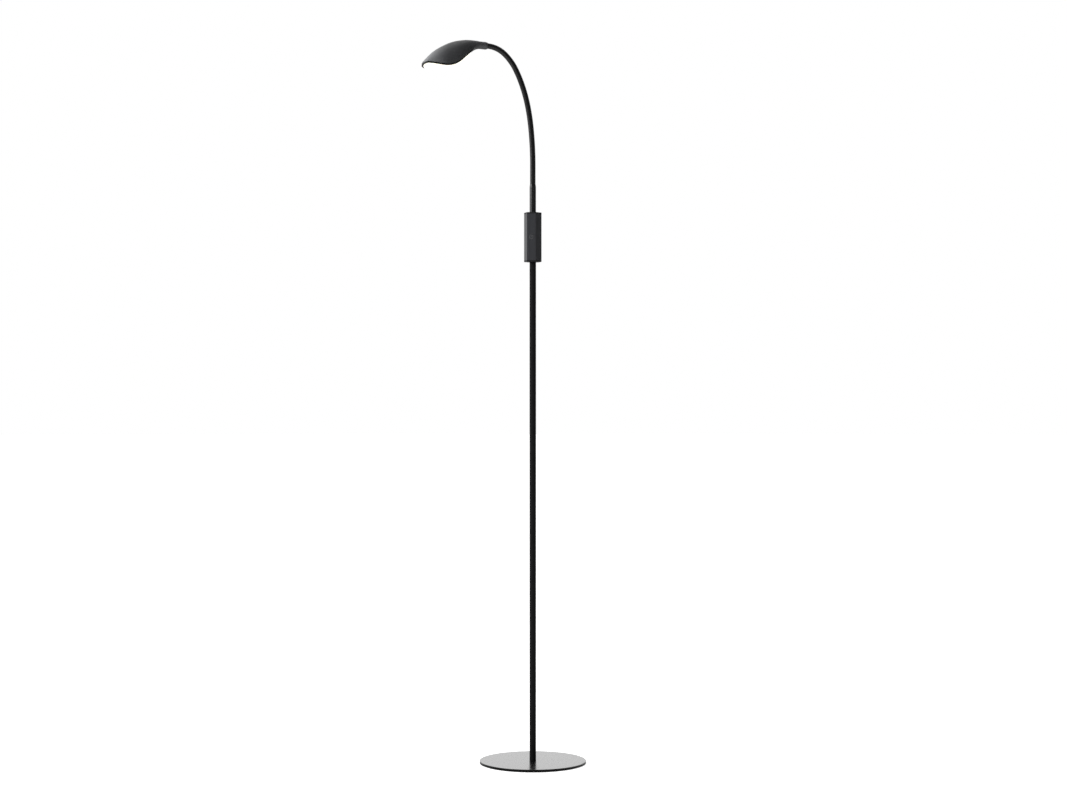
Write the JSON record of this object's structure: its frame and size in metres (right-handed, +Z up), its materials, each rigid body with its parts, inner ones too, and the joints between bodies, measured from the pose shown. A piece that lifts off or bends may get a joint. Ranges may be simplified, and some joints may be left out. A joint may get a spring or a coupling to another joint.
{
  "type": "gooseneck reading floor lamp",
  "caption": "Free-standing reading lamp: flat round base, slim pole, hexagonal switch box, flexible neck and a spoon-shaped head with an opal diffuser.",
  "frame": {"origin": "centre of the base's underside, on the pole's axis, at floor level", "axes": "+Z up along the pole, -X the way the neck bends over and the head points, -Y the side the picture was taken from"},
  "size_m": [0.3404, 0.22, 1.4914],
  "materials": {
    "base_paint": "satin black powder coat",
    "pad_foam": "closed-cell foam",
    "zinc_steel": "zinc plated",
    "pole_paint": "satin black powder coat",
    "grommet_rubber": "matt",
    "lead_sheath": "matt PVC",
    "box_aluminium": "satin black anodised",
    "cap_plastic": "fine matt",
    "black_screw": "black oxide",
    "circuit_board": "solder mask",
    "component_plastic": "moulded",
    "terminal_plastic": "moulded",
    "button_plastic": "satin",
    "ferrule_paint": "gloss black",
    "neck_rubber": "smooth matt silicone",
    "core_steel": "wound wire",
    "head_paint": "satin black paint",
    "bezel_plastic": "satin",
    "opal_diffuser": "opal acrylic",
    "bare_aluminium": "mill finish",
    "led_board_white": "white solder mask",
    "led_phosphor": "silicone phosphor"
  },
  "bodies": {
    "stand": {"base_plate": "base_paint", "base_pad": "pad_foam", "foot_screw": "zinc_steel", "foot_plug": "zinc_steel", "pole_lower": "pole_paint", "pole_joiner": "zinc_steel", "pole_upper": "pole_paint", "pole_top_plug": "zinc_steel", "cable_grommet": "grommet_rubber", "pole_lead": "lead_sheath", "box_housing": "box_aluminium", "box_bottom_cap": "cap_plastic", "box_top_cap": "cap_plastic", "cap_screws": "black_screw", "lower_nipple": "zinc_steel", "upper_nipple": "zinc_steel", "nipple_nuts": "zinc_steel", "control_board": "circuit_board", "board_parts": "component_plastic", "terminal_blocks": "terminal_plastic", "tact_switch": "component_plastic", "stub_tube": "ferrule_paint", "stub_plug": "zinc_steel", "neck_ferrule": "ferrule_paint", "neck_sleeve_1": "neck_rubber", "neck_core_1": "core_steel", "neck_lead_1": "lead_sheath"},
    "neck_2": {"neck_sleeve_2": "neck_rubber", "neck_core_2": "core_steel", "neck_lead_2": "lead_sheath"},
    "neck_3": {"neck_sleeve_3": "neck_rubber", "neck_core_3": "core_steel", "neck_lead_3": "lead_sheath"},
    "neck_4": {"neck_sleeve_4": "neck_rubber", "neck_core_4": "core_steel", "neck_lead_4": "lead_sheath"},
    "neck_5": {"neck_sleeve_5": "neck_rubber", "neck_core_5": "core_steel", "neck_lead_5": "lead_sheath"},
    "neck_6": {"neck_sleeve_6": "neck_rubber", "neck_core_6": "core_steel", "neck_lead_6": "lead_sheath"},
    "neck_7": {"neck_sleeve_7": "neck_rubber", "neck_core_7": "core_steel", "neck_lead_7": "lead_sheath"},
    "head": {"head_collar": "head_paint", "head_shell": "head_paint", "diffuser_bezel": "bezel_plastic", "diffuser": "opal_diffuser", "heat_spreader": "bare_aluminium", "led_board": "led_board_white", "led_chips": "led_phosphor", "led_screws": "zinc_steel", "lead_connector": "terminal_plastic", "head_lead": "lead_sheath", "neck_sleeve_8": "neck_rubber", "neck_core_8": "core_steel", "neck_lead_8": "lead_sheath"},
    "button": {"power_button": "button_plastic", "switch_plunger": "component_plastic"}
  },
  "joints": [
    {"name": "neck_1_bend", "type": "hinge", "parent": "stand", "child": "neck_2", "pos_m": [0, 0, 1.23612], "axis": [0, -1, 0], "range_deg": [-15, 15]},
    {"name": "neck_2_sway", "type": "hinge", "parent": "neck_2", "child": "neck_3", "pos_m": [-0.00105, 0, 1.27623], "axis": [0.9986, 0, 0.0523], "range_deg": [-15, 15]},
    {"name": "neck_3_bend", "type": "hinge", "parent": "neck_3", "child": "neck_4", "pos_m": [-0.0042, 0, 1.31623], "axis": [0, -1, 0], "range_deg": [-15, 15]},
    {"name": "neck_4_bend", "type": "hinge", "parent": "neck_4", "child": "neck_5", "pos_m": [-0.01013, 0, 1.3559], "axis": [0, -1, 0], "range_deg": [-15, 15]},
    {"name": "neck_5_sway", "type": "hinge", "parent": "neck_5", "child": "neck_6", "pos_m": [-0.02017, 0, 1.39472], "axis": [0.9511, 0, 0.309], "range_deg": [-15, 15]},
    {"name": "neck_6_bend", "type": "hinge", "parent": "neck_6", "child": "neck_7", "pos_m": [-0.03519, 0, 1.4319], "axis": [0, -1, 0], "range_deg": [-15, 15]},
    {"name": "neck_7_bend", "type": "hinge", "parent": "neck_7", "child": "head", "pos_m": [-0.05865, 0, 1.46419], "axis": [0, -1, 0], "range_deg": [-15, 15]},
    {"name": "power_button_press", "type": "slide", "parent": "stand", "child": "button", "axis": [0.342, 0.9397, 0], "range_m": [0, 0.0008], "stiffness_N_per_m": 600}
  ]
}
